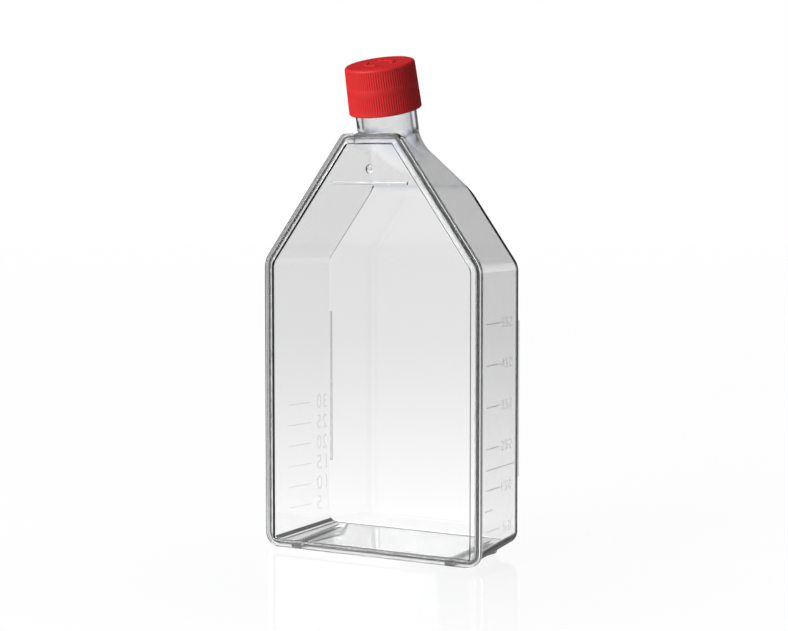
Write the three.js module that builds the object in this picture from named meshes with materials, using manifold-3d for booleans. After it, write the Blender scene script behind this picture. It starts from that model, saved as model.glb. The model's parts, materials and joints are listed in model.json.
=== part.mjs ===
// Cell culture flask, 175 cm2 class, standing on its end wall, with a screw cap on a canted neck.
// Millimetres, +Z up. X runs across the flask, -Y is the front (the welded window plate),
// +Y is the back (the growth surface). The origin is the bottom centre of the whole.
import * as THREE from 'three';
import { mergeVertices } from 'three/addons/utils/BufferGeometryUtils.js';
import Module from 'manifold-3d';

const wasm = await Module();
wasm.setup();

// ---- driving dimensions ----

const GAP = 0.3;                 // between pieces that touch when assembled
const OVERCUT = 1;               // how far a cut runs past the face it opens
const LEAST_RADIUS = 0.5;        // of an inside corner

// rim: the outline that the window plate and the tub's flange share
const RIM_HALF_WIDTH = 58;
const RIM_TOP_HEIGHT = 193.5;
const RIM_TOP_HALF_WIDTH = 14.5;
const SHOULDER_RISE = 58.9;      // from the end of the straight sides to the top
const RIM_FOOT_RADIUS = 7;
const RIM_SHOULDER_RADIUS = 10;
const RIM_TOP_RADIUS = 3.5;

// window plate
const PLATE_FRAME_DEPTH = 2;     // front to back at the raised frame
const PLATE_FRAME_WIDTH = 4.4;
const PLATE_LIP_WIDTH = 2;       // outer band of the frame, stepped back
const PLATE_LIP_STEP = 0.4;
const PLATE_WINDOW_THICKNESS = 1.2;
const BAR_LENGTH = 41;           // stacking bar across the window
const BAR_WIDTH = 1.4;
const BAR_BELOW_TOP = 22.4;
const BAR_SINK = 0.2;            // how far short of the plate's back the bar's own solid ends
const GATE_DIAMETER = 4.1;       // moulding gate, a shallow dimple
const GATE_DEPTH = 0.5;
const GATE_BELOW_TOP = 16.1;

// tub
const WALL = 1.3;
const FLANGE_THICKNESS = 1.2;
const FLANGE_OVERHANG = 1.2;     // how far the rim stands out from the tub's walls
const TUB_DEPTH = 46.6;          // from the front of the rim to the outside of the back wall
const SIDE_DRAFT = 4.5;          // how far each wall leans in between the flange and the back
const SHOULDER_DRAFT = 4.1;
const BASE_DRAFT = 3.3;
const TOP_DRAFT = 1.3;
const TUB_FOOT_RADIUS = 6;
const TUB_SHOULDER_RADIUS = 8;
const TUB_TOP_RADIUS = 3;
const RAMP_RISE = 26.2;          // from where the back wall turns into the ramp to the rim's top
const RAMP_ANGLE = 45;           // degrees from the back wall
const RAMP_CREASE_RADIUS = 8;

// feet under the end wall, and stacking rails on the back
const FOOT_INSET = 16.2;         // of a foot's middle, from the side of the rim
const FOOT_WIDTH = 5.5;
const FOOT_SHORTFALL = 5.6;      // from the foot's end to the outside of the back wall
const RAIL_INSET = 7.3;          // of a rail's middle, from the side of the rim
const RAIL_WIDTH = 2.4;
const RAIL_HEIGHT = 0.8;         // proud of the back wall
const RAIL_BOTTOM = 35.7;
const RAIL_BELOW_SHOULDER = 26.8;    // from the rail's top to the end of the straight sides

// neck; distances along the neck are measured from where its axis meets the rim's top height
const NECK_TILT = 14;            // degrees, towards the front
const NECK_LENGTH = 29.6;        // to the mouth
const NECK_BORE_RADIUS = 11.8;
const NECK_THREAD_WALL = 1.4;    // from the bore to the foot of the thread
const NECK_PLATE_CLEARANCE = 0.57;   // behind the window plate's back, at the rim's top
const NECK_SINK = 0.1;           // of the neck's lower end, under the face of the ramp
const BORE_SINK = 0.75;          // of the bore's lower end, past the inner face of the ramp
const MOUTH_CHAMFER = 0.5;
const FLARE = [                  // (share of the way down to the neck's end, added radius)
  [0, 0],
  [0.22, 0.6],
  [0.58, 1.4],
  [1, 2.2],
];

// thread, right-handed, one start
const THREAD_LEAD = 4;
const THREAD_HEIGHT = 1;
const THREAD_FOOT_WIDTH = 1.5;
const THREAD_CREST_WIDTH = 0.7;
const THREAD_CLEARANCE = 0.35;   // radial, between either crest and the other piece's wall
const THREAD_SINK = 0.3;         // into the wall that carries the ridge
const THREAD_FADE = 0.125;       // turns over which the ridge rises at either end
const THREAD_END_SHARE = 0.15;   // of the full height, left at the very ends
const THREAD_BELOW_MOUTH = 3.4;  // from the end of the neck's ridge
const NECK_THREAD_TURNS = 1.75;
const CAP_THREAD_TURNS = 1.5;
const STEP_BELOW_THREAD = 6.6;   // where the neck narrows, from the start of its ridge

// cap and the sealing disc inside it
const CAP_HEIGHT = 21.8;
const CAP_WALL = 2.15;           // outside the thread's clearance, ribs and all, at the lower edge
const CAP_TOP_WALL = 1.3;
const CAP_DRAFT = 0.6;           // how much the radius shrinks towards the top
const CAP_NECK_CLEARANCE = 0.55; // radial, below the step in the neck
const CAP_TOP_ROUNDING = 1.4;
const CAP_BEAD_HEIGHT = 1.2;     // plain band at the lower edge
const CAP_BAND_HEIGHT = 0.9;     // plain band between the two tiers of ribs
const CAP_RIBS = 92;
const CAP_RIB_DEPTH = 0.35;
const RIB_SHAPE = [              // over one rib's pitch: (share of the pitch, share of the depth)
  [0.05, 1],
  [0.25, 0],
  [0.6, 0],
  [0.8, 1],
];
const LINER_THICKNESS = 1.2;
const LINER_CLEARANCE = 0.4;     // radial, in the cap
const ARROW_RADIUS = 6.2;        // raised turning marks on the cap's top
const ARROW_WIDTH = 1.4;
const ARROW_RELIEF = 0.3;
const ARROW_SWEEP = 105;         // degrees
const ARROW_HEAD_SWEEP = 22;
const ARROW_BARB = 0.6;          // of the arrow's width, on either side of its head

// ---- helpers ----

const rad = THREE.MathUtils.degToRad;

function toSolid(geometry) {
  const bare = geometry.clone();
  bare.deleteAttribute('normal');
  bare.deleteAttribute('uv');
  const merged = mergeVertices(bare, 1e-4);
  return new wasm.Manifold(new wasm.Mesh({
    numProp: 3,
    vertProperties: new Float32Array(merged.attributes.position.array),
    triVerts: new Uint32Array(merged.index.array),
  }));
}

function toGeometry(solid) {
  const mesh = solid.getMesh();
  const geometry = new THREE.BufferGeometry();
  geometry.setAttribute('position', new THREE.BufferAttribute(mesh.vertProperties, 3));
  geometry.setIndex(new THREE.BufferAttribute(mesh.triVerts, 1));
  geometry.computeVertexNormals();
  return geometry;
}

// Six corners of the rim outline, as (x, height), counter-clockwise from the lower right.
const RIM_CORNERS = [
  [RIM_HALF_WIDTH, 0],
  [RIM_HALF_WIDTH, RIM_TOP_HEIGHT - SHOULDER_RISE],
  [RIM_TOP_HALF_WIDTH, RIM_TOP_HEIGHT],
  [-RIM_TOP_HALF_WIDTH, RIM_TOP_HEIGHT],
  [-RIM_HALF_WIDTH, RIM_TOP_HEIGHT - SHOULDER_RISE],
  [-RIM_HALF_WIDTH, 0],
].map(([x, z]) => new THREE.Vector2(x, z));

// The rim's corners with each wall moved in by its own amount.
function insetCorners({ base, side, shoulder, top }) {
  const amounts = [side, shoulder, top, shoulder, side, base];
  const count = RIM_CORNERS.length;
  const walls = RIM_CORNERS.map((corner, i) => {
    const along = RIM_CORNERS[(i + 1) % count].clone().sub(corner).normalize();
    const inward = new THREE.Vector2(-along.y, along.x);
    return { point: corner.clone().addScaledVector(inward, amounts[i]), along };
  });
  return walls.map((wall, i) => {
    const before = walls[(i + count - 1) % count];
    const apart = wall.point.clone().sub(before.point);
    const reach = apart.cross(wall.along) / before.along.cross(wall.along);
    return before.point.clone().addScaledVector(before.along, reach);
  });
}

const even = (amount) => ({ base: amount, side: amount, shoulder: amount, top: amount });

// Corner points replaced by arcs; every outline gets as many points, so that two can be lofted.
function rounded(corners, [foot, shoulder, top]) {
  const radii = [foot, shoulder, top, top, shoulder, foot];
  const steps = [6, 3, 3, 3, 3, 6];
  const count = corners.length;
  return corners.flatMap((corner, i) => {
    const back = corners[(i + count - 1) % count].clone().sub(corner).normalize();
    const ahead = corners[(i + 1) % count].clone().sub(corner).normalize();
    const half = Math.acos(back.dot(ahead)) / 2;
    const middle = back.clone().add(ahead).normalize();
    const centre = corner.clone().addScaledVector(middle, radii[i] / Math.sin(half));
    const sweep = Math.PI - 2 * half;
    const outward = middle.clone().negate();
    return Array.from({ length: steps[i] + 1 }, (_, k) => {
      const turn = sweep * (k / steps[i] - 0.5);
      return outward.clone().rotateAround(new THREE.Vector2(), turn)
        .multiplyScalar(radii[i]).add(centre);
    });
  });
}

// A slab between two depths. Its outline may change from front to back, which gives the draft.
function slab(front, back, fromY, toY) {
  const depth = toY - fromY;
  const geometry = new THREE.ExtrudeGeometry(new THREE.Shape(front), {
    depth, bevelEnabled: false, curveSegments: 1,
  });
  const position = geometry.attributes.position;
  for (let i = 0; i < position.count; i += 1) {
    const here = new THREE.Vector2(position.getX(i), position.getY(i));
    const isBack = position.getZ(i) > depth / 2;
    const index = front.findIndex((point) => point.distanceTo(here) < 1e-3);
    const place = isBack ? back[index] : here;
    position.setXYZ(i, place.x, fromY + position.getZ(i), place.y);
  }
  // exchanging Y and Z mirrors the slab, so each face is turned round again
  for (let i = 0; i < position.count; i += 3) {
    const a = new THREE.Vector3().fromBufferAttribute(position, i + 1);
    const b = new THREE.Vector3().fromBufferAttribute(position, i + 2);
    position.setXYZ(i + 1, b.x, b.y, b.z);
    position.setXYZ(i + 2, a.x, a.y, a.z);
  }
  return toSolid(geometry);
}

function box(sizeX, sizeY, sizeZ, x, y, z) {
  return toSolid(new THREE.BoxGeometry(sizeX, sizeY, sizeZ).translate(x, y, z));
}

// A turned solid about Z; the profile is (radius, height) and closes on the axis or on itself.
function turned(profile, segments = 64) {
  const points = profile.map(([radius, height]) => new THREE.Vector2(radius, height));
  return toSolid(new THREE.LatheGeometry(points, segments).rotateX(Math.PI / 2));
}

// A thread ridge: a straight ridge wound round Z, which fades in and out at its ends.
function threadRidge(rootRadius, outwards, start, turns) {
  const perTurn = 32;
  const side = outwards ? 1 : -1;
  const foot = THREAD_FOOT_WIDTH / 2;
  const crest = THREAD_CREST_WIDTH / 2;
  const section = new THREE.Shape([
    new THREE.Vector2(-foot, -THREAD_SINK),
    new THREE.Vector2(foot, -THREAD_SINK),
    new THREE.Vector2(foot, 0),
    new THREE.Vector2(crest, THREAD_HEIGHT),
    new THREE.Vector2(-crest, THREAD_HEIGHT),
    new THREE.Vector2(-foot, 0),
  ]);
  const straight = new THREE.ExtrudeGeometry(section, {
    depth: 1, steps: Math.round(turns * perTurn), bevelEnabled: false, curveSegments: 1,
  });
  const position = straight.attributes.position;
  for (let i = 0; i < position.count; i += 1) {
    const share = position.getZ(i);
    const turnsToEnd = Math.min(share, 1 - share) * turns;
    const fade = Math.min(1, turnsToEnd / THREAD_FADE + THREAD_END_SHARE);
    const proud = position.getY(i) > 0 ? position.getY(i) * fade : position.getY(i);
    const angle = share * turns * 2 * Math.PI;
    const radius = rootRadius + side * proud;
    const height = start + THREAD_LEAD * share * turns + position.getX(i) * side;
    position.setXYZ(i, radius * Math.cos(angle), radius * Math.sin(angle), height);
  }
  return toSolid(straight);
}

// ---- where things lie ----

const plateBack = PLATE_FRAME_DEPTH;
const windowFront = plateBack - PLATE_WINDOW_THICKNESS;
const flangeFront = plateBack + GAP;
const flangeBack = flangeFront + FLANGE_THICKNESS;
const tubRadii = [TUB_FOOT_RADIUS, TUB_SHOULDER_RADIUS, TUB_TOP_RADIUS];
const innerRadii = tubRadii.map((radius) => Math.max(radius - WALL, LEAST_RADIUS));
const rimRadii = [RIM_FOOT_RADIUS, RIM_SHOULDER_RADIUS, RIM_TOP_RADIUS];
const rampFoot = RIM_TOP_HEIGHT - RAMP_RISE;

const threadRootRadius = NECK_BORE_RADIUS + NECK_THREAD_WALL;
const capWallRadius = threadRootRadius + THREAD_HEIGHT + THREAD_CLEARANCE;
const neckRadius = capWallRadius - CAP_NECK_CLEARANCE;
const neckSetBack = plateBack + NECK_PLATE_CLEARANCE + neckRadius / Math.cos(rad(NECK_TILT));
const neckThreadStart = NECK_LENGTH - THREAD_BELOW_MOUTH - NECK_THREAD_TURNS * THREAD_LEAD;
const neckStep = neckThreadStart - STEP_BELOW_THREAD;
const neckRoot = alongNeckUnderRamp(neckRadius + FLARE.at(-1)[1], NECK_SINK);
const boreRoot = alongNeckUnderRamp(NECK_BORE_RADIUS, WALL + BORE_SINK);

const linerBottom = NECK_LENGTH + GAP;
const capCeiling = linerBottom + LINER_THICKNESS + GAP;
const capTop = capCeiling + CAP_TOP_WALL;
const capBottom = capTop - CAP_HEIGHT;
const capBottomRadius = capWallRadius + CAP_WALL;

// How far along the neck a circle of this radius lies wholly deeper than the ramp's face.
function alongNeckUnderRamp(radius, depth) {
  const slope = rad(RAMP_ANGLE);
  const between = slope - rad(NECK_TILT);
  const axisAbove = (neckSetBack - TUB_DEPTH) * Math.cos(slope) + RAMP_RISE * Math.sin(slope);
  return -(axisAbove + radius * Math.cos(between) + depth) / Math.sin(between);
}

// A solid modelled along the neck's own axis, set on the flask.
function onNeck(solid) {
  return solid.rotate([NECK_TILT, 0, 0]).translate([0, neckSetBack, RIM_TOP_HEIGHT]);
}

// Everything behind the ramp's plane, with the crease rounded; moved in by `inset` for the cavity.
function behindRamp(inset) {
  const reach = 120;
  const slope = rad(RAMP_ANGLE);
  const backY = TUB_DEPTH - inset;
  const creaseZ = rampFoot - inset * Math.tan(slope / 2);
  const radius = RAMP_CREASE_RADIUS - inset;
  const setBack = radius * Math.tan(slope / 2);
  const profile = [new THREE.Vector2(backY, creaseZ - setBack)];
  const steps = 5;
  for (let k = 1; k <= steps; k += 1) {
    const turn = slope * k / steps;
    profile.push(new THREE.Vector2(
      backY - radius * (1 - Math.cos(turn)),
      creaseZ - setBack + radius * Math.sin(turn),
    ));
  }
  const rampTopZ = creaseZ + reach * Math.cos(slope);
  profile.push(new THREE.Vector2(backY - reach * Math.sin(slope), rampTopZ));
  profile.push(new THREE.Vector2(backY + reach, rampTopZ));
  profile.push(new THREE.Vector2(backY + reach, creaseZ - setBack));
  const prism = new THREE.ExtrudeGeometry(new THREE.Shape(profile), {
    depth: 2 * reach, bevelEnabled: false, curveSegments: 1,
  });
  // the profile lies in (y, z): turn the extrusion to run along X
  prism.applyMatrix4(new THREE.Matrix4().makeBasis(
    new THREE.Vector3(0, 1, 0), new THREE.Vector3(0, 0, 1), new THREE.Vector3(1, 0, 0),
  ));
  return toSolid(prism.translate(-reach, 0, 0));
}

// The drafted block that is the outside of the tub (inset 0) or its cavity (inset by the wall).
function tubBlock(inset, radii, fromY, toY) {
  const slopeOf = (draft) => draft / (TUB_DEPTH - flangeBack);
  const amountsAt = (y) => ({
    base: FLANGE_OVERHANG + inset + slopeOf(BASE_DRAFT) * (y - flangeBack),
    side: FLANGE_OVERHANG + inset + slopeOf(SIDE_DRAFT) * (y - flangeBack),
    shoulder: FLANGE_OVERHANG + inset + slopeOf(SHOULDER_DRAFT) * (y - flangeBack),
    top: FLANGE_OVERHANG + inset + slopeOf(TOP_DRAFT) * (y - flangeBack),
  });
  const front = rounded(insetCorners(amountsAt(fromY)), radii);
  const back = rounded(insetCorners(amountsAt(toY)), radii);
  return slab(front, back, fromY, toY).subtract(behindRamp(inset));
}

// ---- pieces ----

function makeFlaskBody() {
  let outside = tubBlock(0, tubRadii, flangeFront, TUB_DEPTH);
  const rim = rounded(insetCorners(even(0)), rimRadii);
  outside = outside.add(slab(rim, rim, flangeFront, flangeBack));

  const footLength = TUB_DEPTH - FOOT_SHORTFALL - FOOT_WIDTH / 2 - flangeFront;
  const footHeight = FLANGE_OVERHANG + BASE_DRAFT;
  const footMiddle = flangeFront + footLength / 2;
  const railTop = RIM_TOP_HEIGHT - SHOULDER_RISE - RAIL_BELOW_SHOULDER;
  const railLength = railTop - RAIL_BOTTOM;
  const railMiddle = TUB_DEPTH + (RAIL_HEIGHT - WALL) / 2;
  const heel = turned([
    [0, 0],
    [FOOT_WIDTH / 2, 0],
    [FOOT_WIDTH / 2, footHeight],
    [0, footHeight],
  ], 24);
  for (const side of [-1, 1]) {
    const x = side * (RIM_HALF_WIDTH - FOOT_INSET);
    const railX = side * (RIM_HALF_WIDTH - RAIL_INSET);
    outside = outside
      .add(box(FOOT_WIDTH, footLength, footHeight, x, footMiddle, footHeight / 2))
      .add(heel.translate([x, flangeFront + footLength, 0]))
      .add(box(RAIL_WIDTH, WALL + RAIL_HEIGHT, railLength,
        railX, railMiddle, RAIL_BOTTOM + railLength / 2));
  }

  const neck = turned([
    [0, neckRoot],
    ...FLARE.toReversed().map(([share, added]) => [neckRadius + added, neckRoot * share]),
    [neckRadius, neckStep - (neckRadius - threadRootRadius)],
    [threadRootRadius, neckStep],
    [threadRootRadius, NECK_LENGTH - MOUTH_CHAMFER],
    [threadRootRadius - MOUTH_CHAMFER, NECK_LENGTH],
    [0, NECK_LENGTH],
  ]);
  const ridge = threadRidge(threadRootRadius, true, neckThreadStart, NECK_THREAD_TURNS);
  outside = outside.add(onNeck(neck.add(ridge)));

  const cavity = tubBlock(WALL, innerRadii, flangeFront - OVERCUT, TUB_DEPTH - WALL);
  const bore = turned([
    [0, boreRoot],
    [NECK_BORE_RADIUS, boreRoot],
    [NECK_BORE_RADIUS, NECK_LENGTH + OVERCUT],
    [0, NECK_LENGTH + OVERCUT],
  ]);
  return outside.subtract(cavity).subtract(onNeck(bore));
}

function makeFrontPlate() {
  const rim = rounded(insetCorners(even(0)), rimRadii);
  const lipRadii = rimRadii.map((radius) => radius - PLATE_LIP_WIDTH);
  const lip = rounded(insetCorners(even(PLATE_LIP_WIDTH)), lipRadii);
  const openingRadii = rimRadii.map((radius) => Math.max(radius - PLATE_FRAME_WIDTH, LEAST_RADIUS));
  const opening = rounded(insetCorners(even(PLATE_FRAME_WIDTH)), openingRadii);
  const barDepth = plateBack - BAR_SINK;
  const gateDepth = windowFront + GATE_DEPTH;
  const gate = turned([
    [0, 0],
    [GATE_DIAMETER / 2, 0],
    [GATE_DIAMETER / 2, gateDepth],
    [0, gateDepth],
  ], 24);
  return slab(rim, rim, PLATE_LIP_STEP, plateBack)
    .add(slab(lip, lip, 0, plateBack - PLATE_LIP_STEP))
    .subtract(slab(opening, opening, -OVERCUT, windowFront))
    .add(box(BAR_LENGTH, barDepth, BAR_WIDTH, 0, barDepth / 2, RIM_TOP_HEIGHT - BAR_BELOW_TOP))
    .subtract(gate.rotate([-90, 0, 0]).translate([0, 0, RIM_TOP_HEIGHT - GATE_BELOW_TOP]));
}

// The ribbed wall between two heights: a gear-like outline, narrowed upwards with the cap.
function ribTier(bottom, top) {
  const outline = [];
  for (let i = 0; i < CAP_RIBS; i += 1) {
    for (const [share, depth] of RIB_SHAPE) {
      const angle = (i + share) / CAP_RIBS * 2 * Math.PI;
      const radius = capBottomRadius - CAP_RIB_DEPTH * depth;
      outline.push(new THREE.Vector2(radius * Math.cos(angle), radius * Math.sin(angle)));
    }
  }
  const tier = new THREE.ExtrudeGeometry(new THREE.Shape(outline), {
    depth: top - bottom, bevelEnabled: false, curveSegments: 1,
  }).translate(0, 0, bottom);
  const position = tier.attributes.position;
  for (let i = 0; i < position.count; i += 1) {
    const narrowed = capRadiusAt(position.getZ(i)) / capBottomRadius;
    position.setXY(i, position.getX(i) * narrowed, position.getY(i) * narrowed);
  }
  return toSolid(tier);
}

function capRadiusAt(height) {
  return capBottomRadius - CAP_DRAFT * (height - capBottom) / CAP_HEIGHT;
}

function makeCap() {
  const shoulder = capTop - CAP_TOP_ROUNDING;
  const core = (height) => capRadiusAt(height) - CAP_RIB_DEPTH;
  const curveSteps = 4;
  const topCurve = Array.from({ length: curveSteps + 1 }, (_, k) => {
    const turn = k / curveSteps * Math.PI / 2;
    const inward = CAP_TOP_ROUNDING * (1 - Math.cos(turn));
    return [core(shoulder) - inward, shoulder + CAP_TOP_ROUNDING * Math.sin(turn)];
  });
  const bead = capBottom + CAP_BEAD_HEIGHT;
  let cap = turned([
    [0, capBottom],
    [capRadiusAt(capBottom), capBottom],
    [capRadiusAt(bead), bead],
    [core(bead), bead],
    ...topCurve,
    [0, capTop],
  ], CAP_RIBS);

  const bandMiddle = (bead + shoulder) / 2;
  cap = cap.add(ribTier(bead, bandMiddle - CAP_BAND_HEIGHT / 2));
  cap = cap.add(ribTier(bandMiddle + CAP_BAND_HEIGHT / 2, shoulder));

  for (const start of [0, Math.PI]) {
    cap = cap.add(turnMark(start));
  }

  const hollow = turned([
    [0, capBottom - OVERCUT],
    [capWallRadius, capBottom - OVERCUT],
    [capWallRadius, capCeiling],
    [0, capCeiling],
  ], CAP_RIBS);
  // the cap's ridge runs midway between two turns of the neck's
  const start = neckThreadStart - THREAD_LEAD / 2;
  const ridge = threadRidge(capWallRadius, false, start, CAP_THREAD_TURNS);
  return cap.subtract(hollow).add(ridge);
}

// One raised arrow on the cap's top: part of a ring with a pointed end, the way the cap opens.
function turnMark(start) {
  const inner = ARROW_RADIUS - ARROW_WIDTH / 2;
  const outer = ARROW_RADIUS + ARROW_WIDTH / 2;
  const barb = ARROW_BARB * ARROW_WIDTH;
  const end = start + rad(ARROW_SWEEP);
  const steps = 8;
  const at = (radius, angle) => new THREE.Vector2(
    radius * Math.cos(angle),
    radius * Math.sin(angle),
  );
  const arc = (radius) => Array.from({ length: steps + 1 }, (_, k) => (
    at(radius, start + (end - start) * k / steps)
  ));
  const outline = [
    ...arc(outer),
    at(outer + barb, end),
    at(ARROW_RADIUS, end + rad(ARROW_HEAD_SWEEP)),
    at(inner - barb, end),
    ...arc(inner).reverse(),
  ];
  const mark = new THREE.ExtrudeGeometry(new THREE.Shape(outline), {
    depth: 2 * ARROW_RELIEF, bevelEnabled: false, curveSegments: 1,
  });
  return toSolid(mark).translate([0, 0, capTop - ARROW_RELIEF]);
}

function makeLiner() {
  const radius = capWallRadius - THREAD_CLEARANCE - LINER_CLEARANCE;
  return turned([
    [0, linerBottom],
    [radius, linerBottom],
    [radius, linerBottom + LINER_THICKNESS],
    [0, linerBottom + LINER_THICKNESS],
  ]);
}

// ---- assembly ----

const polystyrene = () => new THREE.MeshStandardMaterial({
  color: 0xe8ecef, roughness: 0.05, metalness: 0, transparent: true, opacity: 0.35,
});

function piece(name, solid, material) {
  const mesh = new THREE.Mesh(toGeometry(solid), material);
  mesh.name = name;
  return mesh;
}

const capPolymer = new THREE.MeshStandardMaterial({ color: 0xc81e28, roughness: 0.42, metalness: 0 });
const linerPolymer = new THREE.MeshStandardMaterial({ color: 0xf2f0ea, roughness: 0.6, metalness: 0 });

const neckGroup = new THREE.Group();
neckGroup.position.set(0, neckSetBack, RIM_TOP_HEIGHT);
neckGroup.rotation.x = rad(NECK_TILT);
neckGroup.add(piece('screw_cap', makeCap(), capPolymer));
neckGroup.add(piece('cap_liner', makeLiner(), linerPolymer));

const flask = new THREE.Group();
flask.add(piece('flask_body', makeFlaskBody(), polystyrene()));
flask.add(piece('front_plate', makeFrontPlate(), polystyrene()));
flask.add(neckGroup);

// the origin goes to the bottom centre of the whole
const bounds = new THREE.Box3().setFromObject(flask, true);
flask.position.y = -(bounds.min.y + bounds.max.y) / 2;

const group = new THREE.Group();
group.add(flask);

export default group;
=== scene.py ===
import json
import math

import bmesh
import bpy
from mathutils import Matrix, Vector, noise


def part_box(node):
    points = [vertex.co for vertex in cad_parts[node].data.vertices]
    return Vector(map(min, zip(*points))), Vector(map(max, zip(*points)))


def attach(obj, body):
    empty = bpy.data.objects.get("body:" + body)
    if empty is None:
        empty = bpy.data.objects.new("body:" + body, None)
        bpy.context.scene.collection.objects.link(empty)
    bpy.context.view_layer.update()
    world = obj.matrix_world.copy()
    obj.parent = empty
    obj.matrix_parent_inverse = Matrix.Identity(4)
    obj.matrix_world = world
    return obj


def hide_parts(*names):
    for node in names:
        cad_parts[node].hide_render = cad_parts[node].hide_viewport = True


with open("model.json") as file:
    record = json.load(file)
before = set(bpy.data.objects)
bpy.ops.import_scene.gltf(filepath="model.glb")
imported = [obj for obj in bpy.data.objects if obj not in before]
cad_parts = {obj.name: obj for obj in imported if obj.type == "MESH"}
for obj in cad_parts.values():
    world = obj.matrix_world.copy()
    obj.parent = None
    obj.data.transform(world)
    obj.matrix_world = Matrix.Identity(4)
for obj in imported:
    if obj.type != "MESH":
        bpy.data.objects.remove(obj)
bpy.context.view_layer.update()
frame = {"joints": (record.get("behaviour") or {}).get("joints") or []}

# ---- Tub ---------------------------------------------------------------------------------------
# One moulding in clear polystyrene: end wall, sides, slanted shoulders, flat back and the ramp
# that carries the neck. Its walls lean in towards the back, so that it leaves the mould, and a
# flange round its open front takes the window plate. Everything here is in millimetres, with Y
# counted from the front of the rim, until the piece is set in place.

MM = 0.001
plate_low, plate_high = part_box("front_plate")
half_width = plate_high.x / MM
height = plate_high.z / MM
top_half_width = 14.5
SHOULDER_RISE, RAMP_RISE = 58.9, 26.2
side_height = height - SHOULDER_RISE

shoulder_way = Vector((height - side_height, half_width - top_half_width)).normalized()
base_wall, right_wall, left_wall, right_shoulder, left_shoulder, top_wall = (
    {"at": (0, 0), "out": (0, -1), "lean": 3.3},
    {"at": (half_width, 0), "out": (1, 0), "lean": 4.5},
    {"at": (-half_width, 0), "out": (-1, 0), "lean": 4.5},
    {"at": (top_half_width, height), "out": (shoulder_way.x, shoulder_way.y), "lean": 4.1},
    {"at": (-top_half_width, height), "out": (-shoulder_way.x, shoulder_way.y), "lean": 4.1},
    {"at": (0, height), "out": (0, 1), "lean": 1.3},
)
outline = (base_wall, right_wall, left_wall, right_shoulder, left_shoulder, top_wall)

WALL = 1.3
FLANGE_FRONT, FLANGE_BACK = 2.3, 3.5
FLANGE_OVERHANG = 1.2
TUB_DEPTH = 46.6
LEAN_DEPTH = TUB_DEPTH - FLANGE_BACK   # over which each wall leans by its amount above
CREASE_RADIUS = 8                      # where the back turns into the ramp
BACK_ROUNDING, CAVITY_ROUNDING = 1.9, 0.8


def trim(bm, at, outwards):
    """Cut away everything outside a plane and close the cut."""
    everything = bm.verts[:] + bm.edges[:] + bm.faces[:]
    cut = bmesh.ops.bisect_plane(
        bm, geom=everything, dist=1e-5, plane_co=at, plane_no=outwards, clear_outer=True)
    edges = [e for e in cut["geom_cut"] if isinstance(e, bmesh.types.BMEdge)]
    if edges:
        bmesh.ops.contextual_create(bm, geom=edges)


def round_off(bm, edges, radius, steps):
    """Round edges that all meet at the same angle."""
    edges = list(edges)
    offset = radius * math.tan(edges[0].calc_face_angle() / 2)
    bmesh.ops.bevel(
        bm, geom=edges, offset=offset, offset_type="OFFSET", segments=steps, profile=0.5,
        affect="EDGES", material=-1, clamp_overlap=False)


def rim_block(front, back, inset, radii, slope_of=lambda wall: 0):
    """A block with the rim's outline between two depths, its walls moved in, its corners round."""
    bm = bmesh.new()
    bmesh.ops.create_cube(bm, size=1)
    bmesh.ops.scale(bm, vec=(160, back - front, 260), verts=bm.verts)
    bmesh.ops.translate(bm, vec=(0, (front + back) / 2, 100), verts=bm.verts)
    for wall in outline:
        (x, z), (out_x, out_z) = wall["at"], wall["out"]
        trim(bm, (x - out_x * inset, FLANGE_BACK, z - out_z * inset),
             (out_x, slope_of(wall), out_z))
    corners = [e for e in bm.edges
               if abs(e.verts[0].co.y - e.verts[1].co.y) > 0.9 * (back - front)]
    levels = (0, side_height / 2, (side_height + height) / 2, 2 * height)
    for radius, low, high in zip(radii, levels, levels[1:]):
        here = [e for e in corners if e.is_valid
                and low - 1 <= (e.verts[0].co.z + e.verts[1].co.z) / 2 < high]
        round_off(bm, here, radius, 10)
    return bm


def crease_height(inset):
    """Where the back of a block ends and its ramp starts."""
    return height - RAMP_RISE - inset * math.tan(math.radians(22.5))


def tub_block(inset, front, radii, crease_radius, back_radius):
    """The leaning block behind the rim, with the ramp cut off its top and its back rounded."""
    back = TUB_DEPTH - inset
    bm = rim_block(
        front, back, FLANGE_OVERHANG + inset, radii, lambda wall: wall["lean"] / LEAN_DEPTH)
    crease = crease_height(inset)
    trim(bm, (0, back, crease), (0, 1, 1))
    bm.normal_update()
    creases = [e for e in bm.edges if abs(e.verts[0].co.y - back) < 1e-3
               and abs(e.verts[1].co.y - back) < 1e-3
               and abs(e.verts[0].co.z - crease) < 1e-3 and abs(e.verts[1].co.z - crease) < 1e-3]
    round_off(bm, creases, crease_radius, 8)
    bm.normal_update()
    rear = [e for e in bm.edges if len(e.link_faces) == 2
            and sorted(f.normal.y > 0.6 for f in e.link_faces) == [False, True]]
    bmesh.ops.bevel(
        bm, geom=rear, offset=back_radius, offset_type="OFFSET", segments=5, profile=0.5,
        affect="EDGES", material=-1, clamp_overlap=False)
    return bm


def turned(profile, steps=96):
    """A solid turned about Z from (radius, height) points; its ends close on the axis."""
    bm = bmesh.new()
    points = [bm.verts.new((radius, 0, z)) for radius, z in profile]
    for a, b in zip(points, points[1:]):
        bm.edges.new((a, b))
    bmesh.ops.spin(
        bm, geom=bm.verts[:] + bm.edges[:], cent=(0, 0, 0), axis=(0, 0, 1),
        angle=2 * math.pi, steps=steps, use_merge=True)
    bmesh.ops.remove_doubles(bm, verts=bm.verts, dist=1e-4)
    bmesh.ops.recalc_face_normals(bm, faces=bm.faces)
    return bm


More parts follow.
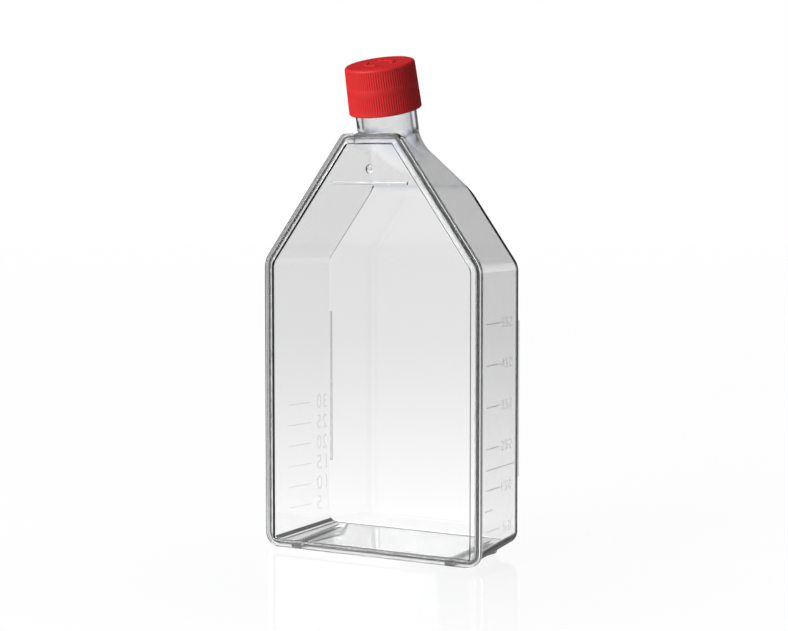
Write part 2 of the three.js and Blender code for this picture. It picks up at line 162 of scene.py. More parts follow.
def bar(size, middle, rounding):
    """A bar with rounded edges."""
    bm = bmesh.new()
    bmesh.ops.create_cube(bm, size=1)
    bmesh.ops.scale(bm, vec=size, verts=bm.verts)
    if rounding:
        bmesh.ops.bevel(
            bm, geom=bm.edges[:], offset=rounding, offset_type="OFFSET", segments=3, profile=0.5,
            affect="EDGES", material=-1)
    bmesh.ops.translate(bm, vec=middle, verts=bm.verts)
    return bm


def thread_ridge(root_radius, outwards, start, turns, lead=4):
    """A thread's ridge: a straight ridge wound round Z, which fades at both ends."""
    side = 1 if outwards else -1
    steps = round(turns * 48)
    bm = bmesh.new()
    section = [bm.verts.new((0, y, z)) for y, z in (
        (-0.75, -0.3), (0.75, -0.3), (0.75, 0), (0.42, 0.9), (0.25, 1), (-0.25, 1), (-0.42, 0.9),
        (-0.75, 0))]
    end = [bm.faces.new(section)]
    for step in range(steps):
        grown = bmesh.ops.extrude_face_region(bm, geom=end)["geom"]
        if step:
            bmesh.ops.delete(bm, geom=end, context="FACES_ONLY")
        end = [g for g in grown if isinstance(g, bmesh.types.BMFace)]
        moved = [g for g in grown if isinstance(g, bmesh.types.BMVert)]
        bmesh.ops.translate(bm, vec=(1, 0, 0), verts=moved)
    for vert in bm.verts:
        share = vert.co.x / steps
        fade = min(1, min(share, 1 - share) * turns / 0.125 + 0.15)
        proud = vert.co.z * fade if vert.co.z > 0 else vert.co.z
        angle = share * turns * 2 * math.pi
        rise = start + lead * share * turns + vert.co.y * side
        radius = root_radius + side * proud
        vert.co = (radius * math.cos(angle), radius * math.sin(angle), rise)
    bmesh.ops.recalc_face_normals(bm, faces=bm.faces)
    return bm


def as_piece(name, bm):
    """A new object in the scene from a finished bmesh."""
    mesh = bpy.data.meshes.new(name)
    bm.to_mesh(mesh)
    bm.free()
    piece = bpy.data.objects.new(name, mesh)
    bpy.context.scene.collection.objects.link(piece)
    return piece


def combine(piece, operation, solids):
    """Fuse solids with a piece, or cut them out of it."""
    tools = [as_piece(piece.name + "_tool", bm) for bm in solids]
    for tool in tools:
        step = piece.modifiers.new("combine", "BOOLEAN")
        step.operation, step.solver, step.object = operation, "EXACT", tool
    bpy.context.view_layer.update()
    shape = piece.evaluated_get(bpy.context.evaluated_depsgraph_get())
    mesh = bpy.data.meshes.new_from_object(shape)
    piece.modifiers.clear()
    piece.data = mesh
    mesh.name = piece.name
    for tool in tools:
        bpy.data.objects.remove(tool)


rim_radii, tub_radii = (7, 10, 3.5), (6, 8, 3)
cavity_radii = [radius - WALL for radius in tub_radii]

flange = rim_block(FLANGE_FRONT, FLANGE_BACK, 0, rim_radii)
bmesh.ops.bevel(
    flange, geom=[e for e in flange.edges if e.calc_face_angle() > 1], offset=0.15,
    offset_type="OFFSET", segments=3, profile=0.5, affect="EDGES", material=-1)

# feet under the end wall, each with a round heel that slopes up to the back
FOOT_INSET, FOOT_WIDTH, FOOT_LENGTH, FOOT_HEIGHT, HEEL_SLOPE = 16.2, 5.5, 38.8, 5.4, 4.4
feet = []
for x in (FOOT_INSET - half_width, half_width - FOOT_INSET):
    foot = bar((FOOT_WIDTH, FOOT_LENGTH, FOOT_HEIGHT), (x, 21.7, FOOT_HEIGHT / 2), 0)
    heel = [e for e in foot.edges if all(v.co.y > 40 for v in e.verts)
            and abs(e.verts[0].co.z - e.verts[1].co.z) > 1]
    round_off(foot, heel, 2.5, 8)
    foot.normal_update()
    bmesh.ops.bevel(
        foot, geom=[e for e in foot.edges if e.calc_face_angle() > 1
                    and all(v.co.z < 1 for v in e.verts)],
        offset=0.5, offset_type="OFFSET", segments=3, profile=0.5, affect="EDGES", material=-1)
    for vert in foot.verts:
        if vert.co.y > 30:
            vert.co.y += HEEL_SLOPE * vert.co.z / FOOT_HEIGHT
    feet.append(foot)

# rails along the back, on which the flask lies, each steep outside and sloping off inside
RAIL_SIZE, RAIL_SLOPE = (2.4, 2.1, 72.1), 1.5
rail_x = half_width - 7.3
rails = []
for side in (-1, 1):
    rail = bar(RAIL_SIZE, (side * rail_x, TUB_DEPTH - 0.25, 71.75), 0)
    for vert in rail.verts:
        if vert.co.y > TUB_DEPTH and abs(vert.co.x) < rail_x:
            vert.co.x += side * RAIL_SLOPE
    rail.normal_update()
    bmesh.ops.bevel(
        rail, geom=[e for e in rail.edges if all(v.co.y > TUB_DEPTH for v in e.verts)],
        offset=0.25, offset_type="OFFSET", segments=3, profile=0.5, affect="EDGES", material=-1)
    rails.append(rail)

# neck, canted to the front
turn_joint = next(j for j in frame["joints"] if j["name"] == "cap_turn")
neck_at, neck_way = Vector(turn_joint["pos_m"]) / MM, Vector(turn_joint["axis"])
neck_tilt = math.atan2(-neck_way.y, neck_way.z)
on_neck = (Matrix.Translation(neck_at - Vector((0, plate_low.y / MM, 0)))
           @ Matrix.Rotation(neck_tilt, 4, "X"))
BORE_RADIUS, THREAD_ROOT, NECK_RADIUS, MOUTH = 11.8, 13.2, 14, 29.6
NECK_FOOT = -24.5      # deep inside the tub
FILLET = 4.0           # where the neck flows into the shoulders and the ramp


def clearance(point, inset):
    """How far a point lies outside the top, the shoulders and the ramp of a block."""
    (x, z), (out_x, out_z) = right_shoulder["at"], right_shoulder["out"]
    slope, edge = right_shoulder["lean"] / LEAN_DEPTH, FLANGE_OVERHANG + inset
    shoulder_out = Vector((out_x, slope, out_z)).normalized()
    ramp_out = Vector((0, 1, 1)).normalized()
    place = Vector((abs(point.x), point.y, point.z))
    turn = shoulder_out.angle(ramp_out)
    rounding = (CAVITY_ROUNDING if inset else BACK_ROUNDING) / math.tan(turn / 2)
    a = rounding + shoulder_out.dot(
        place - Vector((x - out_x * edge, FLANGE_BACK, z - out_z * edge)))
    b = rounding + ramp_out.dot(place - Vector((0, TUB_DEPTH - inset, crease_height(inset))))
    if a * math.cos(turn) < b and b * math.cos(turn) < a:
        away = math.sqrt(a * a + b * b - 2 * a * b * math.cos(turn)) / math.sin(turn)
    else:
        away = max(a, b)
    return max(away - rounding, place.z - height + edge)


def flow_out(bm, radius, inset, fillet):
    """Widen the foot of a solid on the neck's axis, so that it flows into the block below."""
    for vert in bm.verts:
        if vert.co.z > 10 or math.hypot(vert.co.x, vert.co.y) < 1:
            continue
        way = Vector((vert.co.x, vert.co.y, 0)).normalized()
        share = min(1, max(0, (way.y + 0.95) / 0.7))
        reach = 1 + (fillet - 1) * share * share * (3 - 2 * share)
        low, high = radius, radius + reach
        for _ in range(20):
            middle = (low + high) / 2
            place = on_neck @ (way * middle + Vector((0, 0, vert.co.z)))
            side, under = reach - (middle - radius), reach - clearance(place, inset) - 0.06
            if math.hypot(max(0, side), max(0, under)) > reach and place.y > 3 + inset:
                low = middle
            else:
                high = middle
        vert.co.x, vert.co.y = way.x * low, way.y * low


foot_levels = [NECK_FOOT + 0.75 * k for k in range(45)]
neck = turned(
    [(0, NECK_FOOT)] + [(NECK_RADIUS, z) for z in foot_levels]
    + [(NECK_RADIUS, 11.6), (NECK_RADIUS - 0.1, 12.0), (THREAD_ROOT + 0.1, 12.6),
       (THREAD_ROOT, 12.9), (THREAD_ROOT, MOUTH - 0.6), (THREAD_ROOT - 0.15, MOUTH - 0.2),
       (THREAD_ROOT - 0.5, MOUTH), (0, MOUTH)])
flow_out(neck, NECK_RADIUS, 0, FILLET)
neck_thread = thread_ridge(THREAD_ROOT, True, 19.2, 1.75)
for part in (neck, neck_thread):
    bmesh.ops.transform(part, matrix=on_neck, verts=part.verts)

# all fused into one moulding, then hollowed
PAINTED_SHADE_BAND = 4.4        # how far the band of painted dark shade along the back edge reaches along the walls
outside = tub_block(0, FLANGE_FRONT + 0.4, tub_radii, CREASE_RADIUS, BACK_ROUNDING)
# a cut that gives the band of painted dark shade its own faces
bmesh.ops.bisect_plane(
    outside, geom=outside.verts[:] + outside.edges[:] + outside.faces[:], dist=1e-5,
    plane_co=(0, TUB_DEPTH - PAINTED_SHADE_BAND, 0), plane_no=(0, 1, 0))
tub = as_piece("moulded_tub", outside)
combine(tub, "UNION", [flange, *feet, *rails, neck, neck_thread])
cavity = tub_block(WALL, -4, cavity_radii, CREASE_RADIUS - WALL, CAVITY_ROUNDING)
bore = turned(
    [(0, NECK_FOOT)] + [(BORE_RADIUS, z) for z in foot_levels]
    + [(BORE_RADIUS, MOUTH - 0.5), (BORE_RADIUS + 0.4, MOUTH), (BORE_RADIUS + 0.4, MOUTH + 3),
       (0, MOUTH + 3)])
flow_out(bore, BORE_RADIUS, WALL, FILLET + 1.7)
bmesh.ops.transform(bore, matrix=on_neck, verts=bore.verts)
combine(tub, "DIFFERENCE", [cavity, bore])


class Wire:
    """A socket of a node tree; arithmetic on it adds the nodes that do it."""

    def __init__(self, tree, socket):
        self.tree, self.socket = tree, socket

    def apply(self, operation, *values):
        return add_node(self.tree, "ShaderNodeMath", {"operation": operation},
                        dict(enumerate(values)))["Value"]

    def __add__(self, other):
        return self.apply("ADD", self, other)

    def __sub__(self, other):
        return self.apply("SUBTRACT", self, other)

    def __rsub__(self, other):
        return self.apply("SUBTRACT", other, self)

    def __mul__(self, other):
        return self.apply("MULTIPLY", self, other)

    def __truediv__(self, other):
        return self.apply("DIVIDE", self, other)

    __radd__ = __add__
    __rmul__ = __mul__


def add_node(tree, kind, settings=None, sockets=None):
    """A node with its settings, then its sockets' values or links; gives its outputs by name."""
    node = tree.nodes.new(kind)
    for name, value in (settings or {}).items():
        if name == "stops":
            ramp = node.color_ramp.elements
            while len(ramp) > len(value):
                ramp.remove(ramp[-1])
            for i, (at, tone) in enumerate(value):
                stop = ramp[i] if i < len(ramp) else ramp.new(at)
                stop.position = at
                stop.color = (*tone, 1) if isinstance(tone, tuple) else (tone, tone, tone, 1)
        else:
            setattr(node, name, value)
    for name, value in (sockets or {}).items():
        if isinstance(value, Wire):
            tree.links.new(value.socket, node.inputs[name])
        elif isinstance(value, tuple) and node.inputs[name].type == "RGBA":
            node.inputs[name].default_value = (*value, 1)
        else:
            node.inputs[name].default_value = value
    return {s.name: Wire(tree, s) for s in reversed(node.outputs) if s.enabled}


def blend(tree, share, first, second, kind="MIX"):
    """Two colours mixed, or multiplied by a share."""
    return add_node(tree, "ShaderNodeMix", {"data_type": "RGBA", "blend_type": kind}, {
        "Factor": share, 6: first, 7: second})["Result"]


def bare_tree(owner):
    """The emptied node tree of a material or world."""
    owner.use_nodes = True
    owner.node_tree.nodes.clear()
    return owner.node_tree


def clear_polystyrene(name, satin=0.0, face_on=0.97, glancing=0.95, presence=1.0):
    """Clear glossy plastic with faint flow waves; less clear at a slant, partly for the longer
    path through it and partly as painted shade that grows higher up; painted dark edges where its
    curved attribute is high.
    """
    material = bpy.data.materials.new(name)
    tree = bare_tree(material)
    place = add_node(tree, "ShaderNodeTexCoord")["Object"]
    waves = add_node(tree, "ShaderNodeTexNoise", {}, {
        "Vector": place, "Scale": 35.0, "Detail": 1.0, "Roughness": 0.4})["Fac"]
    handling = add_node(tree, "ShaderNodeTexNoise", {}, {
        "Vector": place, "Scale": 220.0, "Detail": 4.0, "Roughness": 0.6})["Fac"]
    bump = add_node(tree, "ShaderNodeBump", {}, {
        "Height": waves, "Strength": 0.05, "Distance": 0.001})["Normal"]
    # partly painted shade: the plastic's colour darkens at a slant, for its longer path there and
    # for the shade its walls show
    slant = add_node(tree, "ShaderNodeLayerWeight", {}, {"Blend": 0.5})["Facing"]
    slanted = add_node(tree, "ShaderNodeMapRange", {"interpolation_type": "SMOOTHSTEP"}, {
        "Value": slant, "From Min": 0.12, "From Max": 0.5})["Result"]
    colour = blend(tree, slanted, (face_on,) * 3, (glancing,) * 3)
    # painted shade: at a slant the plastic is darkened more the higher it stands, so shoulders and
    # top show darker
    rise = add_node(tree, "ShaderNodeSeparateXYZ", {}, {"Vector": place})["Z"]
    painted_shade_higher_up = add_node(tree, "ShaderNodeValToRGB", {
        "stops": [(0.3, 1.0), (0.45, 0.99), (0.64, 0.95), (0.7, 0.88), (0.78, 0.845),
                  (1.0, 0.83)]}, {"Fac": rise / 0.2})["Color"]
    colour = blend(tree, slanted, colour, painted_shade_higher_up, "MULTIPLY")
    clear = add_node(tree, "ShaderNodeBsdfPrincipled", {}, {
        "Base Color": colour, "IOR": 1.59, "Transmission Weight": 1.0, "Alpha": presence,
        "Roughness": satin + 0.004 + (0.012 + satin) * handling, "Normal": bump})["BSDF"]
    # painted shade: a near-black surface is mixed in where a face's painted edge shade amount and
    # its slant are high, drawing dark edges
    curved = add_node(tree, "ShaderNodeAttribute", {"attribute_name": "curved"})["Fac"]
    side = add_node(tree, "ShaderNodeNewGeometry")["Backfacing"]
    edge = add_node(tree, "ShaderNodeMapRange", {"interpolation_type": "SMOOTHSTEP"}, {
        "Value": slant + 0.26 * (curved - 1.0) * (1.0 - side), "From Min": 0.52,
        "From Max": 0.68})["Result"]
    dark = add_node(tree, "ShaderNodeBsdfPrincipled", {}, {
        "Base Color": (0.006, 0.008, 0.009), "Roughness": 0.35,
        "Specular IOR Level": 0.02})["BSDF"]
    surface = add_node(tree, "ShaderNodeMixShader", {}, {
        "Fac": edge * curved.apply("MINIMUM", 0.9 * curved, 0.97), 1: clear, 2: dark})["Shader"]
    inside = add_node(tree, "ShaderNodeVolumeAbsorption", {}, {
        "Color": (0.58, 0.60, 0.62), "Density": 9.0})["Volume"]
    add_node(tree, "ShaderNodeOutputMaterial", {}, {"Surface": surface, "Volume": inside})
    return material


def settle(piece, tidy_angle=32):
    """Bring a piece from millimetres behind the rim to its place in metres; smooth-shade its
    curves and give it an attribute for painted dark edge shade.
    """
    bm = bmesh.new()
    bm.from_mesh(piece.data)
    bmesh.ops.remove_doubles(bm, verts=bm.verts, dist=2e-4)
    bmesh.ops.dissolve_degenerate(bm, edges=bm.edges, dist=2e-4)
    bmesh.ops.transform(
        bm, matrix=Matrix.Translation((0, plate_low.y, 0)) @ Matrix.Scale(MM, 4), verts=bm.verts)
    bm.to_mesh(piece.data)
    bm.free()
    piece.data.shade_smooth()
    piece.data.set_sharp_from_angle(angle=math.radians(tidy_angle))
    weight = piece.modifiers.new("even shading", "WEIGHTED_NORMAL")
    weight.keep_sharp = True
    return piece.data.attributes.new("curved", "FLOAT", "FACE")


curved = settle(tub)
FLAT_AREA = 200        # a face this large, in square millimetres, is a wall
flats = [face.normal.copy() for face in tub.data.polygons if face.area > FLAT_AREA * MM * MM]
tub.data.materials.append(clear_polystyrene("clear polystyrene tub", 0, 0.86, 0.79))

# how much painted dark shade each face gets: the foot's corners and the band along the back edge
# most, the rails less
for face in tub.data.polygons:
    depth, level = face.center.y / MM - plate_low.y / MM, face.center.z / MM
    bent = all(face.normal.dot(n) < 0.9996 for n in flats)
    amount = 0.0
    if bent and depth > FLANGE_BACK + 0.3 and (level < 12 or level > height + 2):
        steep = 0.5 if face.normal.z > 0 else 0.22
        amount = 2.3 if level < 9 and steep < abs(face.normal.x) < 0.76 else 1.0
    if bent and level < height - 27 and abs(face.normal.y) > 0.35:
        amount = 1.0
    if depth > TUB_DEPTH - PAINTED_SHADE_BAND and abs(face.normal.y) < 0.7:
        amount = 2.2 if abs(face.normal.x) < 0.93 else 1.05
        if depth > TUB_DEPTH:
            amount = 1.28
    curved.data[face.index].value = amount
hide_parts("flask_body")
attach(tub, "flask")

# ---- Window plate ------------------------------------------------------------------------------
# The flask's clear front, moulded by itself and welded on: a thin window in a raised frame whose
# outer band steps back. A bar across the window keeps stacked flasks apart, and above it is the
# dimple where the plastic was let into the mould.

LIP_STEP, LIP_WIDTH, FRAME_WIDTH = 0.4, 2, 4.4
WINDOW_FRONT, PLATE_BACK = 0.8, 2.0
bar_height, gate_height = height - 22.4, height - 16.1
lip_radii = [radius - LIP_WIDTH for radius in rim_radii]
opening_radii = [max(radius - FRAME_WIDTH, 0.6) for radius in rim_radii]

plate = as_piece("window_plate", rim_block(LIP_STEP, PLATE_BACK, 0, rim_radii))
dimple = turned(
    [(0, 0.3), (0.5, 0.32), (0.75, 0.5), (1.45, 0.5), (1.75, 0.42), (2.05, 0), (2.05, -2),
     (0, -2)], 48)
bmesh.ops.transform(dimple, verts=dimple.verts, matrix=Matrix.Translation(
    (0, WINDOW_FRONT, gate_height)) @ Matrix.Rotation(math.radians(-90), 4, "X"))
combine(plate, "UNION", [rim_block(0, PLATE_BACK - 0.4, LIP_WIDTH, lip_radii)])
SLOPE = math.tan(math.radians(40))     # of the frame's inner side
opening = rim_block(
    -2, WINDOW_FRONT, FRAME_WIDTH + 0.5 + SLOPE * (FLANGE_BACK - WINDOW_FRONT), opening_radii,
    lambda wall: SLOPE)
bmesh.ops.translate(opening, vec=(0, 0, -1.2), verts=[v for v in opening.verts if v.co.z < 40])
combine(plate, "DIFFERENCE", [opening])
bm = bmesh.new()
bm.from_mesh(plate.data)
bmesh.ops.remove_doubles(bm, verts=bm.verts, dist=1e-4)
foot = [e for e in bm.edges if all(
    abs(v.co.y - WINDOW_FRONT) < 1e-3 and v.co.z < height - 5.5 for v in e.verts)]
bmesh.ops.bevel(
    bm, geom=[e for e in bm.edges if e.calc_face_angle(0) > 0.6 and e not in foot], offset=0.14,
    offset_type="OFFSET", segments=3, profile=0.5, affect="EDGES", material=-1)
bmesh.ops.bevel(
    bm, geom=[e for e in foot if e.is_valid], offset=0.45, offset_type="OFFSET", segments=3,
    profile=0.5, affect="EDGES", material=-1)
bm.to_mesh(plate.data)
bm.free()
combine(plate, "DIFFERENCE", [dimple])
combine(plate, "UNION", [bar((41, 1.6, 1.4), (0, 0.8, bar_height), 0.4)])
curved = settle(plate)
plate.data.materials.append(clear_polystyrene("clear polystyrene window"))

# how much painted dark shade each face gets: the frame's inner side, the bar's ends and the cup's
# left wall
for face in plate.data.polygons:
    depth, level = face.center.y / MM - plate_low.y / MM, face.center.z / MM
    if 0.1 < depth < WINDOW_FRONT and -0.93 < face.normal.y < -0.25 and face.normal.z > -0.6:
        inner = face.center.x * face.normal.x + (level / 1000 - 0.08) * face.normal.z < 0
        curved.data[face.index].value = (1.9 if face.normal.z > 0.6 else 3.5) if inner else 0.0
    if abs(level - bar_height) < 1 and abs(face.center.x) > 19.2 * MM:
        curved.data[face.index].value = 3.5 if abs(face.normal.x) > 0.3 else 0.0
    if abs(level - gate_height) < 2.2 and abs(face.center.x) < 2.2 * MM and depth > 0.82:
        curved.data[face.index].value = 3.5 if face.normal.x > 0.25 else 0.0
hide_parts("front_plate")
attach(plate, "flask")

# ---- Weld --------------------------------------------------------------------------------------
# Two narrow lines of melted polystyrene between the flange and the window plate, a little uneven
# in width and cloudy, where the plate was welded on.

weld = bmesh.new()
for inset, width, unevenness in ((0.35, 1.3, 0.2), (2.1, 0.7, 0.3)):
    line = rim_block(PLATE_BACK + 0.03, FLANGE_FRONT - 0.03, inset,
                     [radius - inset for radius in rim_radii])
    bmesh.ops.delete(line, geom=[f for f in line.faces if abs(f.normal.y) > 0.9],
                     context="FACES_ONLY")
    for span in (40, 12, 4, 1.5):
        long = [e for e in line.edges if e.calc_length() > span]
        bmesh.ops.subdivide_edges(line, edges=long, cuts=3, use_grid_fill=True)
    outside = set(line.verts)
    bmesh.ops.recalc_face_normals(line, faces=line.faces)
    bmesh.ops.solidify(line, geom=line.faces[:], thickness=width)
    for vert in line.verts:
        if vert not in outside:
            shift = noise.noise(vert.co * Vector((0.35, 0, 0.35)))
            out = Vector((vert.co.x, 0, vert.co.z - 80)).normalized()
            vert.co += out * shift * unevenness
    bmesh.ops.recalc_face_normals(line, faces=line.faces)
    mesh = bpy.data.meshes.new("line")
    line.to_mesh(mesh)
    line.free()
    weld.from_mesh(mesh)
    bpy.data.meshes.remove(mesh)
weld = as_piece("weld_lines", weld)
settle(weld)
weld.data.materials.append(clear_polystyrene("melted polystyrene", 0.12))
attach(weld, "flask")

# ---- Graduations -------------------------------------------------------------------------------
# Raised lines and numbers moulded on the side walls: satin ones on the right wall for a flask that
# stands, shallow faint ones on the left wall for one that lies on its back.

SUNK = 0.02              # how far a mark reaches into its wall
LINE_RELIEF, NUMBER_RELIEF, FAINT_RELIEF = 0.14, 0.08, 0.03


def beside(wall, y, z):
    """Where a wall's outside is at a depth and a height, with X along it and Z out of it."""
    side, slope = wall["out"][0], wall["lean"] / LEAN_DEPTH
    x = side * (half_width - FLANGE_OVERHANG - slope * (y - FLANGE_BACK))
    along = Vector((-slope, side, 0)).normalized()
    out = Vector((side, slope, 0)).normalized()
    turn = Matrix((along, (0, 0, 1), out)).transposed().to_4x4()
    return Matrix.Translation((x, y, z)) @ turn


def numeral(text, width, tall, relief, thinner, spacing):
    """A raised numeral of a given size, centred, facing up."""
    curve = bpy.data.curves.new("numeral", "FONT")
    curve.body, curve.dimensions, curve.fill_mode = text, "2D", "FRONT"
    curve.offset, curve.resolution_u, curve.space_character = -thinner, 3, spacing
    holder = bpy.data.objects.new("numeral", curve)
    bpy.context.scene.collection.objects.link(holder)
    bpy.context.view_layer.update()
    mesh = bpy.data.meshes.new_from_object(
        holder.evaluated_get(bpy.context.evaluated_depsgraph_get()))
    bpy.data.objects.remove(holder)
    bm = bmesh.new()
    bm.from_mesh(mesh)
    bmesh.ops.remove_doubles(bm, verts=bm.verts, dist=1e-4)
    low = Vector([min(v.co[i] for v in bm.verts) for i in range(3)])
    high = Vector([max(v.co[i] for v in bm.verts) for i in range(3)])
    bmesh.ops.translate(bm, vec=-(low + high) / 2, verts=bm.verts)
    size = high - low
    bmesh.ops.scale(bm, vec=(width / size.x, tall / size.y, 1), verts=bm.verts)
    bmesh.ops.translate(bm, vec=(0, 0, -SUNK), verts=bm.verts)
    bm.normal_update()
    bmesh.ops.reverse_faces(bm, faces=[f for f in bm.faces if f.normal.z < 0])
    # a thinned outline can fold over itself at a sharp corner; the small flap goes
    folds = [min(e.link_faces, key=lambda f: f.calc_area()) for e in bm.edges
             if len(e.link_faces) == 2 and not e.is_contiguous]
    bmesh.ops.delete(bm, geom=list(dict.fromkeys(folds)), context="FACES")
    grown = bmesh.ops.extrude_face_region(bm, geom=bm.faces[:], use_keep_orig=True)["geom"]
    top = [g for g in grown if isinstance(g, bmesh.types.BMVert)]
    bmesh.ops.translate(bm, vec=(0, 0, relief + SUNK), verts=top)
    return bm


def tick(length, relief):
    """A raised line, centred, along X."""
    return bar((length, 0.5, relief + SUNK), (0, 0, (relief - SUNK) / 2), 0)


marks = bmesh.new()


def mark(solid, wall, y, z):
    """Set a raised mark on a wall."""
    bmesh.ops.transform(solid, matrix=beside(wall, y, z), verts=solid.verts)
    mesh = bpy.data.meshes.new("mark")
    solid.to_mesh(mesh)
    solid.free()
    marks.from_mesh(mesh)
    bpy.data.meshes.remove(mesh)


for volume, z in ((50, 15.0), (150, 33.7), (250, 52.4), (350, 71.1), (450, 89.9), (550, 108.5)):
    width, middle = (8.4, 33.1) if volume < 100 else (11.2, 32.3)
    mark(tick(14, LINE_RELIEF), right_wall, 17.4, z)
    mark(numeral(str(volume), width, 4.5, NUMBER_RELIEF, 0.022, 1.3), right_wall, middle, z - 0.2)
mark(tick(7.1, LINE_RELIEF), right_wall, 13.0, 24.4)
mark(tick(32, LINE_RELIEF), right_wall, 26.4, 42.8)
for volume in range(5, 35, 5):
    z = 15.8 + 9.84 * (volume / 5 - 1)
    width, middle = (3.4, 38.0) if volume < 10 else (7.5, 40.0)
    mark(tick(16.3, FAINT_RELIEF), left_wall, 23.8, z)
    mark(numeral(str(volume), width, 6.9, FAINT_RELIEF, 0.004, 1.15), left_wall, middle, z)
graduations = as_piece("raised_graduations", marks)
settle(graduations)
graduations.data.materials.append(clear_polystyrene("satin polystyrene marks", 0.03))
graduations.data.materials.append(clear_polystyrene("faint polystyrene marks", 0, 1.0, 1.0, 0.16))
for face in graduations.data.polygons:
    face.material_index = 1 if face.center.x < 0 else 0
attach(graduations, "flask")

# ---- Screw cap ---------------------------------------------------------------------------------
# Red polyethylene, one moulding: a wall with two tiers of fine grip ribs between a plain bead at
# its edge and a rounded top, two raised arrows that show the way it opens, and the thread inside.

RIBS, RIB_DEPTH = 92, 0.22
CAP_BOTTOM, CAP_TOP, CAP_CEILING = 10.9, 32.7, 31.4
CAP_RADIUS, CAP_TAPER = 16.7, 0.6
CAP_WALL_RADIUS = 14.55
CAP_ROUNDING = 1.4


def cap_radius(z):
    """The radius of the cap's outside at a height."""
    return CAP_RADIUS - CAP_TAPER * (z - CAP_BOTTOM) / (CAP_TOP - CAP_BOTTOM)


bead_top = CAP_BOTTOM + 1.2
rib_top = CAP_TOP - CAP_ROUNDING
middle = (bead_top + rib_top) / 2
core = cap_radius(rib_top)
heights = [bead_top + 0.1 + k * (rib_top - bead_top - 0.1) / 44 for k in range(45)]
cap_profile = (
    [(0, CAP_CEILING), (CAP_WALL_RADIUS - 0.5, CAP_CEILING), (CAP_WALL_RADIUS, CAP_CEILING - 0.5),
     (CAP_WALL_RADIUS, CAP_BOTTOM + 0.5), (CAP_WALL_RADIUS + 0.5, CAP_BOTTOM),
     (16.1, CAP_BOTTOM), (16.45, CAP_BOTTOM + 0.08), (16.66, CAP_BOTTOM + 0.3),
     (16.68, CAP_BOTTOM + 0.5), (16.67, bead_top - 0.2), (16.62, bead_top - 0.05)]
    + [(cap_radius(z), z) for z in heights]
    + [(core - CAP_ROUNDING * (1 - math.cos(a)), rib_top + CAP_ROUNDING * math.sin(a))
       for a in (math.radians(10 * k) for k in range(1, 10))]
    + [(core - CAP_ROUNDING - 1, CAP_TOP), (0, CAP_TOP)])
cap_bm = turned(cap_profile, RIBS * 8)
for vert in cap_bm.verts:
    z, radius = vert.co.z, math.hypot(vert.co.x, vert.co.y)
    if radius > 15.3 and bead_top < z < rib_top + 0.5:
        to_end = min(z - bead_top, rib_top + 0.5 - z, abs(z - middle) - 0.7)
        length = min(1, max(0, to_end / 1.3))
        turn = math.atan2(vert.co.y, vert.co.x) / (2 * math.pi) * RIBS
        crest = ((1 + math.cos(2 * math.pi * turn)) / 2) ** 1.3
        factor = 1 - RIB_DEPTH * (1 - crest) * length / radius
        vert.co.x *= factor
        vert.co.y *= factor
cap = as_piece("screw_cap_shell", cap_bm)

ARROW_RADIUS, ARROW_SWEEP, HEAD_SWEEP = 6.2, math.radians(105), math.radians(22)


def arrow(start):
    """A raised arrow: part of a ring with a pointed end, its upper edges rounded."""
    bm = bmesh.new()
    across = [bm.verts.new((ARROW_RADIUS + side * 0.7, 0, CAP_TOP - 0.2)) for side in (-1, 1)]
    line = bm.edges.new(across)
    bend = bmesh.ops.spin(
        bm, geom=across + [line], cent=(0, 0, 0), axis=(0, 0, 1), angle=ARROW_SWEEP, steps=24)
    edges = [g for g in bend["geom_last"] if isinstance(g, bmesh.types.BMEdge)]
    for half_barb, turn in ((1.54, ARROW_SWEEP + 0.01), (0, ARROW_SWEEP + HEAD_SWEEP)):
        grown = bmesh.ops.extrude_edge_only(bm, edges=edges)["geom"]
        edges = [g for g in grown if isinstance(g, bmesh.types.BMEdge)]
        for vert in (g for g in grown if isinstance(g, bmesh.types.BMVert)):
            outer = math.hypot(vert.co.x, vert.co.y) > ARROW_RADIUS
            radius = ARROW_RADIUS + (half_barb if outer else -half_barb)
            vert.co = (radius * math.cos(turn), radius * math.sin(turn), vert.co.z)
    bmesh.ops.remove_doubles(bm, verts=bm.verts, dist=1e-4)
    grown = bmesh.ops.extrude_face_region(bm, geom=bm.faces[:], use_keep_orig=True)["geom"]
    bmesh.ops.translate(
        bm, vec=(0, 0, 0.5), verts=[g for g in grown if isinstance(g, bmesh.types.BMVert)])
    bmesh.ops.recalc_face_normals(bm, faces=bm.faces)
    bm.normal_update()
    bmesh.ops.bevel(
        bm, geom=[e for e in bm.edges if all(v.co.z > CAP_TOP for v in e.verts)
                  and e.calc_face_angle(0) > 0.5],
        offset=0.12, offset_type="OFFSET", segments=2, profile=0.5, affect="EDGES", material=-1)
    bmesh.ops.rotate(
        bm, cent=(0, 0, 0), matrix=Matrix.Rotation(start, 3, "Z"), verts=bm.verts)
    return bm


bm = bmesh.new()
bm.from_mesh(cap.data)
for part in (arrow(0), arrow(math.pi), thread_ridge(CAP_WALL_RADIUS, False, 17.2, 1.5)):
    mesh = bpy.data.meshes.new("part")
    part.to_mesh(mesh)
    part.free()
    bm.from_mesh(mesh)
    bpy.data.meshes.remove(mesh)
bmesh.ops.transform(bm, matrix=on_neck, verts=bm.verts)
bm.to_mesh(cap.data)
bm.free()
settle(cap, 40)

